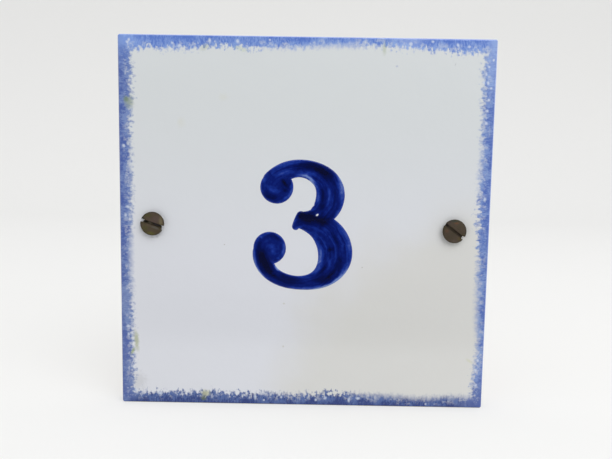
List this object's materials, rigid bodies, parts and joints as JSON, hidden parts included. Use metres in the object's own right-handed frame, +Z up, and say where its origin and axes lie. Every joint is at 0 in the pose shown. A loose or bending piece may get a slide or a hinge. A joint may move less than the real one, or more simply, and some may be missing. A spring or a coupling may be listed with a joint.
{
  "type": "house number plaque",
  "caption": "Square glazed earthenware house number tile with a sponged blue border and a brush-painted cobalt numeral, held by slotted screws in nylon wall plugs.",
  "frame": {"origin": "middle of the tile's back, on the wall plane", "axes": "+Y into the wall, the painted face looks along -Y, +Z up, +X to the viewer's right"},
  "size_m": [0.15, 0.0435, 0.15],
  "materials": {
    "white_glaze": "milk-white tin glaze on pressed earthenware, bare biscuit at the back",
    "sponged_blue": "blue glaze dabbed on with a sponge, white specks showing through",
    "cobalt_glaze": "deep cobalt glaze laid on with a brush, streaked along the strokes",
    "tarnished_brass": "turned brass, tarnished to a dull olive brown",
    "nylon": "moulded natural nylon"
  },
  "bodies": {
    "root": {"tile": "white_glaze", "painted_border": "sponged_blue", "painted_numeral": "cobalt_glaze", "screw_left": "tarnished_brass", "screw_right": "tarnished_brass", "wall_plug_left": "nylon", "wall_plug_right": "nylon"}
  },
  "joints": []
}
